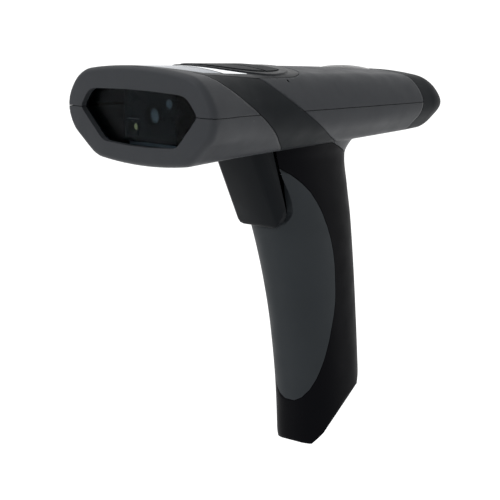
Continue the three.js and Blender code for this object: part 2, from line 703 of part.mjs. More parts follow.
// The top panel: a bezel with a status window, a light bar and two keys inside a raised rim.
function buildTopPanel() {
  const base = headLayer(0, SKIN).intersect(planOutline(panelShape(0), ...TOP));
  const rim = cut(headForm(-ISLAND_RISE), headForm(SKIN)).intersect(islandOutline(0));
  const openings = [statusOutline(GAP), lightBarOutline(GAP), ...KEYS.map((key) => keyOutline(key, GAP))];
  piece("top_bezel", cut(join(base, rim), ...openings), materials.bezel);
  piece("status_window", headLayer(0, SKIN).intersect(statusOutline(0)), materials.statusWindow);
  piece("light_bar", headLayer(0, SKIN).intersect(lightBarOutline(0)), materials.diffuser);

  for (const key of KEYS) {
    const cap = cut(headForm(-KEY_RISE), headForm(0.2)).intersect(keyOutline(key, 0));
    const stem = rod(2.4, [0, key.y, KEY_BOARD_TOP + DOME_HEIGHT + GAP], [0, key.y, crestAt(key.y) + 0.5]);
    piece(key.name, join(cap, stem), materials.key);
    const outline = [[0, 0], [4.2, 0], [4.2, 0.5], [2.4, DOME_HEIGHT - 0.3], [2.1, DOME_HEIGHT], [0, DOME_HEIGHT]];
    piece(`${key.name}_dome`, turned(outline, upright(0, key.y, KEY_BOARD_TOP + TOUCH)), materials.silicone);
  }
  piece("key_board", box([-15, 15], [36, 68], [KEY_BOARD_TOP - 1.2, KEY_BOARD_TOP]), materials.board);
  piece("indicator_lens", indicatorLens(), materials.smokyLens);
}

// A low dome that falls with the head's top surface.
function indicatorLens() {
  const { y, halfWidth, halfLength, rise, fall } = INDICATOR;
  const height = 3.2;
  const spread = 1.15;
  const place = at(0, y, crestAt(y) + rise - height);
  place.multiply(new THREE.Matrix4().makeRotationX(-fall));
  place.scale(new THREE.Vector3(halfWidth * spread, halfLength * spread, height));
  const dome = solid(new THREE.SphereGeometry(1, 28, 18), place);
  return cut(dome, headForm(SKIN)).intersect(indicatorOutline(0));
}

// The clear window behind the nose opening, held against a gasket.
function buildWindow() {
  const inside = headForm(WALL + GAP);
  const gasket = cut(openingOutline(1.4, 3.2, 3.9), openingOutline(0.3, 0, 6));
  piece("window_gasket", gasket.intersect(inside), materials.black);
  piece("scan_window", openingOutline(1.4, 4.2, 5.4).intersect(inside), materials.glass);
}

// The scan engine: a chassis that carries the camera lens, a white lamp and the aiming lens.
function buildEngine() {
  const face = 6.9;
  const lens = { x: 1.4, z: -2.2 };
  const lamp = { x: -8.9, z: -7.1, half: 3.1 };
  const aimer = { x: 9.2, z: 2.8 };
  const chassis = cut(
    box([-13.2, 13.2], [face, 22], [-12.4, 8.2]),
    rod(5.0, [lens.x, 0, lens.z], [lens.x, 30, lens.z], 28),
    box([lamp.x - lamp.half - GAP, lamp.x + lamp.half + GAP], [0, 11], [lamp.z - lamp.half - GAP, lamp.z + lamp.half + GAP]),
    rod(2.2, [aimer.x, 0, aimer.z], [aimer.x, 12, aimer.z]),
  );
  piece("engine_chassis", chassis, materials.black);
  const tube = [[3.6, 0], [4.2, 0], [4.7, 0.6], [4.7, 13], [3.6, 13], [3.6, 0]];
  piece("lens_barrel", turned(tube, at(lens.x, face - 0.6, lens.z), 28), materials.black);
  const glass = [[0, 0], [1.6, 0.25], [2.8, 0.9], [3.3, 1.5], [3.3, 3], [0, 3]];
  piece("lens", turned(glass, at(lens.x, face + 0.6, lens.z), 28), materials.lens);

  const cup = box([lamp.x - lamp.half, lamp.x + lamp.half], [face - 0.3, 10.4], [lamp.z - lamp.half, lamp.z + lamp.half]);
  const cone = turned([[0, -1], [2.9, -1], [1.7, 3.2], [0, 3.2]], at(lamp.x, face - 0.3, lamp.z));
  piece("led_reflector", cut(cup, cone), materials.bezel);
  const emitter = [[0, 0], [0.8, 0.2], [1.3, 0.8], [1.3, 1.4], [0, 1.4]];
  piece("illumination_led", turned(emitter, at(lamp.x, face + 1.2, lamp.z), 16), materials.phosphor);
  const small = [[0, 0], [1.2, 0.3], [1.8, 0.9], [1.8, 3], [0, 3]];
  piece("aimer_lens", turned(small, at(aimer.x, face - 0.2, aimer.z), 20), materials.lens);
  piece("sensor_board", box([-11, 11], [22.4, 23.8], [-11, 7.4]), materials.board);

  const foot = box([-12, 12], [8, 35], [BRACKET_BOTTOM, BRACKET_TOP]);
  const back = box([-12, 12], [26, 27.2], [BRACKET_TOP - 0.5, -8]);
  const holes = ENGINE_SCREWS.map(([x, y]) => rod(1.4, [x, y, -15], [x, y, -10]));
  piece("engine_bracket", cut(join(foot, back), ...holes), materials.steel);
  for (const [x, y] of ENGINE_SCREWS) {
    const sizes = { head: 2.1, headHeight: 1.2, shank: 1.05, length: 3.8, up: false };
    piece(x < 0 ? "engine_screw_left" : "engine_screw_right", screw(x, y, BRACKET_TOP + TOUCH, sizes), materials.steel);
  }

  // The ribbon leaves the sensor board, passes over the bracket and lies on the main board.
  const ribbon = (lift) => [
    new THREE.Vector2(24.1, -5.5 + lift),
    new THREE.Vector2(30, -5.2 + lift),
    new THREE.Vector2(35, -2.6 + lift),
    new THREE.Vector2(40, BOARD_TOP + 0.6 + lift),
    new THREE.Vector2(46, BOARD_TOP + 0.2 + lift),
  ];
  const outline = [
    ...new THREE.SplineCurve(ribbon(0)).getPoints(12),
    ...new THREE.SplineCurve(ribbon(0.35)).getPoints(12).reverse(),
  ];
  piece("engine_ribbon", sideOutline(new THREE.Shape(outline), -6, 6), materials.phosphor);
}

// The main board and what stands on it.
function buildElectronics() {
  const board = box([-22.5, 22.5], [40, 123], [BOARD_BOTTOM, BOARD_TOP]);
  piece("main_board", cut(board, ...BOARD_SCREWS.map(([x, y]) => rod(1.6, [x, y, -10], [x, y, 0]))), materials.board);
  BOARD_SCREWS.forEach(([x, y], index) => {
    const sizes = { head: 2.2, headHeight: 1.4, shank: 1.05, length: 7.5, up: false };
    piece(`board_screw_${index + 1}`, screw(x, y, BOARD_TOP + TOUCH, sizes), materials.steel);
  });
  const deck = BOARD_TOP + TOUCH;
  piece("decoder_chip", box([-7, 7], [58, 72], [deck, deck + 1.3]), materials.chip);
  piece("radio_module", box([-8, 8], [102, 119], [deck, deck + 2.4]), materials.steel);
  piece("beeper", turned([[0, 0], [6, 0], [6, 3], [1, 3], [1, 2.4], [0, 2.4]], upright(11, 90, deck)), materials.chip);
  piece("battery_connector", box([-4, 4], [92, 99], [BOARD_BOTTOM - 5, BOARD_BOTTOM - TOUCH]), materials.diffuser);
}

// The handle: a dark rear shell that carries the neck flange and the butt, and a grey front shell.
function buildHandle() {
  const hollow = handleForm(HANDLE_WALL, -22.5, -150).intersect(buttRegion(6));
  const handle = cut(
    handleForm(0, -16.5, -156).intersect(buttRegion(0)),
    headForm(-GAP),
    hollow,
    triggerWell(),
  );
  const neckHoles = NECK_SCREWS.map(([x, y]) => rod(1.5, [x, y, -24], [x, y, -16]));
  const rearShell = cut(
    handle,
    gripRegion(GAP),
    rearRegion(GAP),
    box([-10, 10], [72, 108], [-24, -14]),
    platePocket(),
    ...neckHoles,
  );
  piece("handle_shell", rearShell, materials.handle);
  piece("front_grip", handle.intersect(gripRegion(0)), materials.grip);
  for (const [x, y] of NECK_SCREWS) {
    const sizes = { head: 2.1, headHeight: 1.6, shank: 1.15, length: 10.6, up: true };
    piece(x < 0 ? "neck_screw_left" : "neck_screw_right", screw(x, y, -22.6, sizes), materials.steel);
  }

  const cell = [[0, -33], [8.6, -33], [9.2, -32.4], [9.2, 31.8], [8.6, 32.4], [3, 32.4], [3, 33.6], [0, 33.6]];
  const cellPlace = lengthwise.clone().multiply(new THREE.Matrix4().makeRotationX(Math.PI / 2));
  piece("battery_cell", turned(cell, cellPlace), materials.cell);
  piece("battery_contact_top", box([-5, 5], [-4, 4], [34, 34.6], lengthwise), materials.steel);
  piece("battery_contact_bottom", box([-5, 5], [-4, 4], [-33.9, -33.3], lengthwise), materials.steel);
  piece("charge_board", box([-7, 7], [-13.4, -12.1], [-25, 22], lengthwise), materials.board);
}

// The trigger hangs from a cross pin in a bracket, pushed forward by a coil spring around the pin.
function buildTrigger() {
  const { y, z } = TRIGGER_PIVOT;
  const bar = (radius, from, to) => rod(radius, [from, y, z], [to, y, z], 24);
  const shape = sideOutline(triggerOutline(0), -30, 30).intersect(triggerColumn(0)).intersect(triggerFace(0));
  const slopeWall = TRIGGER_WALL * Math.hypot(1, TRIGGER_SLOPE);
  const innerFront = (height) => TRIGGER_FRONT + slopeWall + (TRIGGER_TOP - height) * TRIGGER_SLOPE;
  const [innerTop, innerBottom] = [-15, -50.6];
  const hollow = sideOutline(
    polygon([[innerFront(innerTop), innerTop], [100, innerTop], [100, innerBottom], [innerFront(innerBottom), innerBottom]]),
    -30,
    30,
  ).intersect(triggerColumn(TRIGGER_WALL)).intersect(triggerFace(TRIGGER_WALL));
  const springNotch = box([-4.4, 4.4], [53.9, 70], [-17, -6]);
  const actuator = box([-2, 2], [innerFront(SWITCH_HEIGHT) - 1, 70.1], [SWITCH_HEIGHT - 1.5, SWITCH_HEIGHT + 1.5]);
  const body = join(cut(shape, hollow, springNotch), actuator);
  piece("trigger", cut(body, bar(PIN_RADIUS + 0.1, -20, 20)), materials.trigger);
  piece("trigger_pin", bar(PIN_RADIUS, -16, 16), materials.steel);

  const ears = [-1, 1].map((side) => {
    const across = [13.4 * side, 15.2 * side].sort((a, b) => a - b);
    return box(across, [54, 62], [-15.4, -6.4]);
  });
  const roof = box([-15.2, 15.2], [54, 81], [-7.6, -6.4]);
  const arm = box([-7.5, 7.5], [79.6, 81], [-33, -6.4]);
  piece("trigger_bracket", cut(join(roof, arm, ...ears), bar(PIN_RADIUS + GAP, -20, 20)), materials.steel);
  piece("trigger_spring", triggerSpring(), materials.steel);

  const plunger = (radius, from, to) => rod(radius, [0, from, SWITCH_HEIGHT], [0, to, SWITCH_HEIGHT], 16);
  const housing = box([-6, 6], [73, 79.3], [SWITCH_HEIGHT - 3.5, SWITCH_HEIGHT + 3.5]);
  piece("trigger_switch", cut(housing, plunger(1.3, 70, 77.6)), materials.chip);
  piece("switch_plunger", plunger(1, 70.4, 75.5), materials.diffuser);
}

// Three turns of wire around the pin, with one leg on the trigger and one under the bracket's roof.
function triggerSpring() {
  const { y, z } = TRIGGER_PIVOT;
  const radius = 2.5;
  const turns = 3;
  const halfWidth = 3.4;
  const perTurn = 8;
  const points = [new THREE.Vector3(-halfWidth, y - 2.6, z - 3.2)];
  for (let i = 0; i <= turns * perTurn; i += 1) {
    const angle = Math.PI + (i / perTurn) * 2 * Math.PI;
    const x = mix(-halfWidth, halfWidth, i / (turns * perTurn));
    points.push(new THREE.Vector3(x, y + radius * Math.cos(angle), z + radius * Math.sin(angle)));
  }
  points.push(new THREE.Vector3(halfWidth, y - 2.4, z + 3.4));
  const path = new THREE.CatmullRomCurve3(points, false, "centripetal");
  const wire = new THREE.Shape().absarc(0, 0, 0.4, 0, 2 * Math.PI);
  const steps = points.length + 6;
  return solid(new THREE.ExtrudeGeometry(wire, { steps, extrudePath: path, curveSegments: 3 }));
}

// ---------------------------------------------------------------- the butt

function plateOutline(grow, from, to) {
  const shape = new THREE.Shape().absellipse(0, 0, PLATE.halfWidth + grow, PLATE.halfLength + grow, 0, 2 * Math.PI);
  return extrude(shape, from, to, buttPlace);
}

function platePocket() {
  const screwHoles = PLATE_SCREWS.map((x) => box([x - 1.4, x + 1.4], [-1.4, 1.4], [0, 5.2], buttPlace));
  return join(plateOutline(GAP, -4, PLATE.depth + GAP), ...screwHoles);
}

// A flat plate on the underside that carries three charging contacts and stands on the cradle.
function buildButt() {
  const contactHoles = CONTACTS.map((x) => box([x - 1.3, x + 1.3], [-2.7, 2.7], [-2, 4], buttPlace));
  const screwHoles = PLATE_SCREWS.map((x) => turnedInButt([[0, -1.6], [2, -1.6], [2, 1.2], [1.3, 1.2], [1.3, 4], [0, 4]], x));
  piece("contact_plate", cut(plateOutline(0, -PLATE.proud, PLATE.depth), ...contactHoles, ...screwHoles), materials.black);
  CONTACTS.forEach((x, index) => {
    const pad = box([x - 1, x + 1], [-2.4, 2.4], [0, PLATE.depth - TOUCH], buttPlace);
    piece(`charge_contact_${index + 1}`, pad, materials.brass);
  });
  for (const x of PLATE_SCREWS) {
    const sizes = { head: 1.75, headHeight: 1.1, shank: 1, length: 3.6, up: true, matrix: buttPlace };
    piece(x < 0 ? "plate_screw_left" : "plate_screw_right", screw(x, 0, 1.1, sizes), materials.steel);
  }
}

function turnedInButt(profile, x) {
  const place = buttPlace.clone().multiply(at(x, 0, 0)).multiply(new THREE.Matrix4().makeRotationX(Math.PI / 2));
  return turned(profile, place, 20);
}

export default scanner;
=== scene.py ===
"""Looks for the cordless barcode scanner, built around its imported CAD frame.

The visible shells keep the CAD's cuts and seams: each one is a finer copy of its node, with every point on
the head's or the handle's faceted surface moved onto the smooth surface that the facets stand for.
Sections are in millimetres from the middle of the nose face; objects are in metres from the grip.
"""

import json
import math

import bmesh
import bpy
import numpy as np
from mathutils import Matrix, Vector
from mathutils.bvhtree import BVHTree


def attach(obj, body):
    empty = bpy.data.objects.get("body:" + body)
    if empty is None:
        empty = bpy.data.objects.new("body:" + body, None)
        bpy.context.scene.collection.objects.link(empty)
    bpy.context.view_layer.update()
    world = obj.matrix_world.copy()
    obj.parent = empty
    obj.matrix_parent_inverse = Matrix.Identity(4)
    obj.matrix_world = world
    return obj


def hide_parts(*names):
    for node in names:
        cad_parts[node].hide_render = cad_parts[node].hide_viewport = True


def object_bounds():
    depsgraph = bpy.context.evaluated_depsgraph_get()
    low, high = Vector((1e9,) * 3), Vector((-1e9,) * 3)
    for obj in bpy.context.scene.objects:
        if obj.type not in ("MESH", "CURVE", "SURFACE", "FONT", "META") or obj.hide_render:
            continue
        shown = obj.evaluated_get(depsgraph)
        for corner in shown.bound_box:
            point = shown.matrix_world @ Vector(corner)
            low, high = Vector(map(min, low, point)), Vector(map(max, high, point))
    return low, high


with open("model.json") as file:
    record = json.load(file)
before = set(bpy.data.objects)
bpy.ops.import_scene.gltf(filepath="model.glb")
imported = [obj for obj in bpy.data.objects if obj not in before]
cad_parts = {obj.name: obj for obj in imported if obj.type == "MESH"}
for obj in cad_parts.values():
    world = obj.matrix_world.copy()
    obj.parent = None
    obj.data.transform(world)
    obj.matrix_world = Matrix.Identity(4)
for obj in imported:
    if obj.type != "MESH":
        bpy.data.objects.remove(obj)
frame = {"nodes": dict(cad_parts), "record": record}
cad_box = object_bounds()

MM = 0.001
GRIP_CENTRE = np.array([0.0, 104.0, -80.0])

# ---------------------------------------------------------------- the head's and the handle's surfaces

HEAD_LENGTH = 172.5
SPLIT_SLOPE = -0.042
NOSE_LEAN = -0.049
NOSE_LEAN_END = 40.0
NOSE_ROUND = 3.0
NOSE_INSET = NOSE_ROUND * 0.8
TAIL_START = 152.0
TAIL_MIDDLE = -8.5
ISLAND_RISE = 0.5
KEY_RISE = 0.9
HANDLE_SQUARENESS = 2.4
HANDLE_POINTS = 28
CROWN = 1.65             # height of the middle corners, as a multiple of the crest's or keel's rise
REACH_BLEND_END = 45.0   # y from which the corners' rounding stays the same
REACH_SHARE = 0.98       # of an edge's length that its two roundings may use together
LEAST_REACH = 0.4
TAIL_ROUNDNESS = 2.4
TAIL_LEAST_WIDTH = 0.34
TAIL_HEIGHT_LOSS = 0.78
TAIL_HEIGHT_POWER = 1.6
NOSE_RING_PLACE = 0.3    # the ring in the nose's rounded edge, from the face, as a share of NOSE_ROUND
NOSE_RING_INSET = 0.25   # and its inset, as a share of the same

# How far each corner's rounding reaches, in mm: middle, shoulder, side, crease, edge, middle.
NOSE_REACHES = [30, 8, 8.5, 2, 4, 30]
REACH_CHANGES = [0, 1, -2.5, 1, -1, 0]

# y, crest, shoulder x and z, side, crease x and z, edge x and z, keel
HEAD_SECTIONS = np.array([
    [0, 16.9, 31.2, 14.2, 40.0, 35.0, -9.4, 24.2, -18.9, -21.0],
    [40, 14.2, 26.4, 11.2, 34.0, 31.4, -9.7, 23.9, -18.5, -19.7],
    [90, 10.9, 26.2, 8.6, 32.8, 31.0, -10.6, 23.9, -18.7, -19.4],
    [140, 6.9, 25.2, 4.7, 31.2, 29.4, -11.4, 23.2, -18.7, -19.3],
    [TAIL_START, 5.8, 24.8, 3.6, 30.6, 28.8, -11.5, 22.6, -18.6, -19.2],
])
HEAD_STATIONS = np.array([NOSE_ROUND, 18, 40, 65, 90, 115, 140, TAIL_START, 159, 165, 169.5, HEAD_LENGTH])

# z, half width, front, rear
HANDLE_SECTIONS = np.array([
    [-156, 15.7, 93.0, 131.8],
    [-129, 15.5, 91.2, 130.4],
    [-101, 15.6, 87.3, 128.3],
    [-79, 16.1, 82.4, 126.0],
    [-53, 17.0, 74.0, 122.4],
    [-40, 17.7, 68.5, 119.5],
    [-26, 18.8, 61.5, 116.9],
    [-21, 20.6, 61.0, 119.4],
    [-17, 22.8, 61.0, 126.0],
])


def straight_blend(table, places):
    """Section values at each place, on straight lines between the sections."""
    return np.stack([np.interp(places, table[:, 0], column) for column in table[:, 1:].T], 1)


def smooth_blend(table, places):
    """Section values at each place, on monotone cubic curves through the sections."""
    x = table[:, 0]
    step = np.diff(x)
    places = np.clip(places, x[0], x[-1])
    index = np.clip(np.searchsorted(x, places) - 1, 0, len(step) - 1)
    t = (places - x[index]) / step[index]
    columns = []
    for y in table[:, 1:].T:
        rise = np.diff(y) / step
        slope = np.empty_like(y)
        slope[0] = rise[0]
        slope[-1] = rise[-1]
        same_way = rise[:-1] * rise[1:] > 0
        before = np.where(same_way, rise[:-1], 1)
        after = np.where(same_way, rise[1:], 1)
        slope[1:-1] = np.where(same_way, 2 / (1 / before + 1 / after), 0)
        h = step[index]
        value = (2 * t**3 - 3 * t**2 + 1) * y[index] + (t**3 - 2 * t**2 + t) * h * slope[index]
        value += (3 * t**2 - 2 * t**3) * y[index + 1] + (t**3 - t**2) * h * slope[index + 1]
        columns.append(value)
    return np.stack(columns, 1)


CORNER_STEPS = [4, 3, 3, 1, 2, 3, 2, 1, 3, 3]  # points after the first on each corner's curve
RING_CORNER = np.concatenate([[corner] * (steps + 1) for corner, steps in enumerate(CORNER_STEPS)])
RING_STEP = np.concatenate([np.arange(steps + 1) for steps in CORNER_STEPS])
RING_POINTS = len(RING_CORNER)
NOSE_ROWS = 2


def head_corners(y, blend):
    """Corners (n, 10, 2) and reaches (n, 10) of the head's section at each y."""
    crest, shoulder_x, shoulder_z, side, crease_x, crease_z, edge_x, edge_z, keel = blend(HEAD_SECTIONS, y).T
    soft = np.clip(y / REACH_BLEND_END, 0, 1)
    soft = soft * soft * (3 - 2 * soft)
    zero = np.zeros_like(y)
    half_u = [zero, shoulder_x, side, crease_x, edge_x, zero]
    top = shoulder_z + (crest - shoulder_z) * CROWN
    bottom = edge_z + (keel - edge_z) * CROWN
    half_v = [top, shoulder_z, SPLIT_SLOPE * y, crease_z, edge_z, bottom]
    half_reach = [start + change * soft for start, change in zip(NOSE_REACHES, REACH_CHANGES)]
    order = [0, 1, 2, 3, 4, 5, 4, 3, 2, 1]
    signs = np.array([1, 1, 1, 1, 1, 1, -1, -1, -1, -1])
    u = np.stack([half_u[i] for i in order], 1) * signs
    v = np.stack([half_v[i] for i in order], 1)
    reach = np.stack([half_reach[i] for i in order], 1)
    t = np.clip((y - TAIL_START) / (HEAD_LENGTH - TAIL_START), 0, 1)
    width = np.maximum((1 - t**TAIL_ROUNDNESS) ** (1 / TAIL_ROUNDNESS), TAIL_LEAST_WIDTH)[:, None]
    height = (1 - TAIL_HEIGHT_LOSS * t**TAIL_HEIGHT_POWER)[:, None]
    corners = np.stack([u * width, TAIL_MIDDLE + (v - TAIL_MIDDLE) * height], 2)
    return corners, reach * width


def inset_corners(corners, reach, inset):
    """Moves every edge of each outline inwards. The corners run clockwise."""
    def inward(start, end):
        along = end - start
        normal = np.stack([along[..., 1], -along[..., 0]], -1)
        return normal / np.linalg.norm(normal, axis=-1, keepdims=True)

    before = inward(np.roll(corners, 1, 1), corners)
    after = inward(corners, np.roll(corners, -1, 1))
    cosine = np.clip((before * after).sum(-1), -1, 1)
    moved = corners + (inset[:, None] / (1 + cosine))[..., None] * (before + after)
    turn = np.arccos(cosine) / 2
    return moved, np.maximum(reach - np.tan(turn) * inset[:, None], LEAST_REACH)


def ring_points(y, inset, index, fraction, blend):
    """Points (n, 2) on the rounded outline at y, a fraction of the way from ring point index to the next."""
    corners, reach = head_corners(y, blend)
    corners, reach = inset_corners(corners, reach, inset)
    offset_before = np.roll(corners, 1, 1) - corners
    offset_after = np.roll(corners, -1, 1) - corners
    length_before = np.linalg.norm(offset_before, axis=-1)
    length_after = np.linalg.norm(offset_after, axis=-1)
    share_before = np.minimum(1, REACH_SHARE * length_before / (reach + np.roll(reach, 1, 1)))
    share_after = np.minimum(1, REACH_SHARE * length_after / (reach + np.roll(reach, -1, 1)))
    start = corners + offset_before * (reach * share_before / length_before)[..., None]
    end = corners + offset_after * (reach * share_after / length_after)[..., None]
    row = np.arange(len(y))
    corner = RING_CORNER[index]
    steps = np.array(CORNER_STEPS)[corner]
    t = np.minimum((RING_STEP[index] + fraction) / steps, 1)[:, None]
    a, b, c = start[row, corner], corners[row, corner], end[row, corner]
    curve = (1 - t) ** 2 * a + 2 * t * (1 - t) * b + t**2 * c
    following = start[row, (corner + 1) % len(CORNER_STEPS)]
    between = (RING_STEP[index] == steps)[:, None]
    return np.where(between, c + (following - c) * fraction[:, None], curve)


def head_surface(row, index, fraction, inset, smooth):
    """Points of the head's form. Whole rows are the CAD's rings: two in the nose's edge, then the stations."""
    blend = smooth_blend if smooth else straight_blend
    row = np.asarray(row, float)
    stations = np.concatenate([[0, 0], HEAD_STATIONS])
    y = np.interp(row, np.arange(len(stations)), stations)
    turn = np.interp(row, [0, 1, 2], [0, math.acos(1 - NOSE_RING_PLACE), math.pi / 2])
    extra = NOSE_INSET * (1 - np.sin(turn))
    in_nose = row < NOSE_ROWS
    if smooth:
        y = np.where(in_nose, NOSE_ROUND * (1 - np.cos(turn)), y)
        place = inset + y * (HEAD_LENGTH - 2 * inset) / HEAD_LENGTH
    else:
        along = HEAD_STATIONS * (HEAD_LENGTH - 2 * inset) / HEAD_LENGTH
        place = inset + np.interp(row, np.arange(len(stations)), [0, NOSE_ROUND * NOSE_RING_PLACE, *along])
        extra = np.interp(row, [0, 1, 2], [NOSE_INSET, NOSE_ROUND * NOSE_RING_INSET, 0])
    flat = ring_points(y, inset + extra, np.asarray(index), np.asarray(fraction, float), blend)
    lean = NOSE_LEAN * np.clip(1 - y / NOSE_LEAN_END, 0, 1)
    return np.stack([flat[:, 0], place + lean * flat[:, 1], flat[:, 1]], 1)


def handle_surface(row, index, fraction, inset, smooth, rows):
    """Points of the handle's form. Whole rows are the heights in `rows`."""
    blend = smooth_blend if smooth else straight_blend
    z = np.interp(row, np.arange(len(rows)), rows)
    half, front, rear = blend(HANDLE_SECTIONS, z).T
    angle = (np.asarray(index) + 0.5 + fraction) / HANDLE_POINTS * 2 * np.pi
    power = 2 / HANDLE_SQUARENESS

    def bulge(value):
        return np.sign(value) * np.abs(value) ** power

    x = (half - inset) * bulge(np.cos(angle))
    y = (front + rear) / 2 + ((rear - front) / 2 - inset) * bulge(np.sin(angle))
    return np.stack([x, y, z], 1)


class Form:
    """A faceted loft that can say where on it a point lies, and the smooth surface that it stands for."""

    def __init__(self, surface, rows, points):
        self.surface = surface
        self.points = points
        grid_row, grid_index = np.divmod(np.arange(rows * points), points)
        self.facets = surface(grid_row.astype(float), grid_index, np.zeros(rows * points), False)
        triangles = []
        self.cells = []
        for row in range(rows - 1):
            for i in range(points):
                a = row * points + i
                b = row * points + (i + 1) % points
                triangles += [(a, b, b + points), (a, b + points, a + points)]
                self.cells += [(row, i, 0), (row, i, 1)]
        self.triangles = triangles
        self.tree = BVHTree.FromPolygons([Vector(p) for p in self.facets], triangles)

    def locate(self, points, tolerance):
        """Row, index, fraction of each point that lies on the facets, and a mask of those that do."""
        found = np.zeros((len(points), 3))
        mask = np.zeros(len(points), bool)
        for n, point in enumerate(points):
            spot, _, triangle, distance = self.tree.find_nearest(Vector(point))
            if spot is None or distance > tolerance:
                continue
            a, b, c = (self.facets[i] for i in self.triangles[triangle])
            edge_b, edge_c = b - a, c - a
            offset = np.array(spot) - a
            bb, bc, cc = edge_b @ edge_b, edge_b @ edge_c, edge_c @ edge_c
            ob, oc = offset @ edge_b, offset @ edge_c
            scale = bb * cc - bc * bc
            if scale < 1e-12:
                continue
            wb = (cc * ob - bc * oc) / scale
            wc = (bb * oc - bc * ob) / scale
            row, i, kind = self.cells[triangle]
            along, around = (wc, wb + wc) if kind == 0 else (wb + wc, wb)
            found[n] = [row + min(max(along, 0), 1), i, min(max(around, 0), 1)]
            mask[n] = True
        return found, mask

    def smooth(self, found):
        return self.surface(found[:, 0], found[:, 1].astype(int), found[:, 2], True)


def head_form(inset):
    rows = NOSE_ROWS + len(HEAD_STATIONS)
    return Form(lambda r, i, f, smooth: head_surface(r, i, f, inset, smooth), rows, RING_POINTS)


def handle_form(top, bottom):
    heights = [z for z in HANDLE_SECTIONS[::-1, 0] if bottom < z < top]
    rows = [top, *heights, bottom]
    return Form(lambda r, i, f, smooth: handle_surface(r, i, f, 0, smooth, rows), len(rows), HANDLE_POINTS)


HEAD = head_form(0)
ISLAND = head_form(-ISLAND_RISE)
KEY_TOPS = head_form(-KEY_RISE)
HANDLE = handle_form(-16.5, -156)
COLLAR = handle_form(-16.5, -33)

TOLERANCE = 0.04        # mm, between a CAD vertex and the facets it lies on
CUT_SLACK = 1.5         # times TOLERANCE, for the points that cutting an edge in two adds
WELD = 1e-6             # m
MOST_PASSES = 9         # of cutting the long edges in two
NEARLY_FLAT = math.radians(12)   # an edge below this may be turned to even out its triangles
SHARP = math.radians(28)         # an edge above this is shaded as a crease
SAME_PLANE = math.radians(0.5)


def smooth_copy(node, forms, longest):
    """A finer copy of a CAD node, with its points on the forms' facets moved onto their smooth surfaces."""
    source = frame["nodes"][node]
    bm = bmesh.new()
    bm.from_mesh(source.data)
    bmesh.ops.remove_doubles(bm, verts=bm.verts, dist=WELD)
    bmesh.ops.triangulate(bm, faces=bm.faces)
    bm.faces.ensure_lookup_table()

    def head_frame(positions):
        return np.array([tuple(p) for p in positions]) / MM + GRIP_CENTRE

    # A face is on a form when its middle and all its corners are.
    kind = np.full(len(bm.faces), -1)
    centres = head_frame([f.calc_center_median() for f in bm.faces])
    corners = head_frame([v.co for v in bm.verts])
    bm.verts.index_update()
    for number, form in enumerate(forms):
        _, centre_on = form.locate(centres, TOLERANCE)
        _, corner_on = form.locate(corners, TOLERANCE)
        for f in bm.faces:
            if kind[f.index] < 0 and centre_on[f.index] and all(corner_on[v.index] for v in f.verts):
                kind[f.index] = number
    for f in bm.faces:
        f.material_index = int(kind[f.index]) + 1

    limit = longest * MM
    for _ in range(MOST_PASSES):
        surface_edges = [e for e in bm.edges if any(f.material_index for f in e.link_faces)]
        long_edges = [e for e in surface_edges if e.calc_length() > limit]
        if not long_edges:
            break
        bmesh.ops.subdivide_edges(bm, edges=long_edges, cuts=1)
        bmesh.ops.triangulate(bm, faces=[f for f in bm.faces if len(f.verts) > 3])

    for number, form in enumerate(forms):
        form_faces = [f for f in bm.faces if f.material_index == number + 1]
        members = list({v for f in form_faces for v in f.verts})
        if not members:
            continue
        points = head_frame([v.co for v in members])
        found, mask = form.locate(points, TOLERANCE * CUT_SLACK)
        moved = np.clip((form.smooth(found) - GRIP_CENTRE) * MM, *np.array(cad_box))
        for v, place, on_form in zip(members, moved, mask):
            if on_form:
                v.co = place

    paired_edges = [e for e in bm.edges if len(e.link_faces) == 2]
    inner_edges = [e for e in paired_edges if all(f.material_index for f in e.link_faces)]
    surface_edges = [e for e in inner_edges if e.calc_face_angle(0) < NEARLY_FLAT]
    surface_faces = [f for f in bm.faces if f.material_index]
    bmesh.ops.beautify_fill(bm, faces=surface_faces, edges=surface_edges, method="ANGLE")
    for f in bm.faces:
        f.material_index = 0
        f.smooth = True
    mesh = bpy.data.meshes.new(node + "_fine")
    bm.to_mesh(mesh)
    bm.free()
    mesh.set_sharp_from_angle(angle=SHARP)
    piece = bpy.data.objects.new(node + "_fine", mesh)
    bpy.context.scene.collection.objects.link(piece)
    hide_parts(node)
    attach(piece, BODY_OF[node])
    mesh.materials.append(MATERIALS[SLOT_OF[node]])
    return piece


# ---------------------------------------------------------------- materials

def new_material(name):
    material = bpy.data.materials.new(name)
    material.use_nodes = True
    nodes = material.node_tree.nodes
    links = material.node_tree.links
    shader = next(n for n in nodes if n.type == "BSDF_PRINCIPLED")
    place = nodes.new("ShaderNodeTexCoord").outputs["Object"]
    return material, nodes, links, shader, place


def noise(nodes, links, place, scale, detail=3.0):
    texture = nodes.new("ShaderNodeTexNoise")
    texture.inputs["Scale"].default_value = scale
    texture.inputs["Detail"].default_value = detail
    links.new(place, texture.inputs["Vector"])
    return texture.outputs["Fac"]


def spread(nodes, links, value, low, high, source=(0.3, 0.7)):
    mapped = nodes.new("ShaderNodeMapRange")
    mapped.inputs["From Min"].default_value = source[0]
    mapped.inputs["From Max"].default_value = source[1]
    mapped.inputs["To Min"].default_value = low
    mapped.inputs["To Max"].default_value = high
    links.new(value, mapped.inputs["Value"])
    return mapped.outputs["Result"]


def tinted(nodes, links, color, factor, strength):
    """The colour, a little darker where the factor is 0 and a little lighter where it is 1."""
    mixed = nodes.new("ShaderNodeMix")
    mixed.data_type = "RGBA"
    mixed.inputs["A"].default_value = (*[c * (1 - strength) for c in color], 1)
    mixed.inputs["B"].default_value = (*[min(c * (1 + strength), 1) for c in color], 1)
    links.new(factor, mixed.inputs["Factor"])
    return mixed.outputs["Result"]


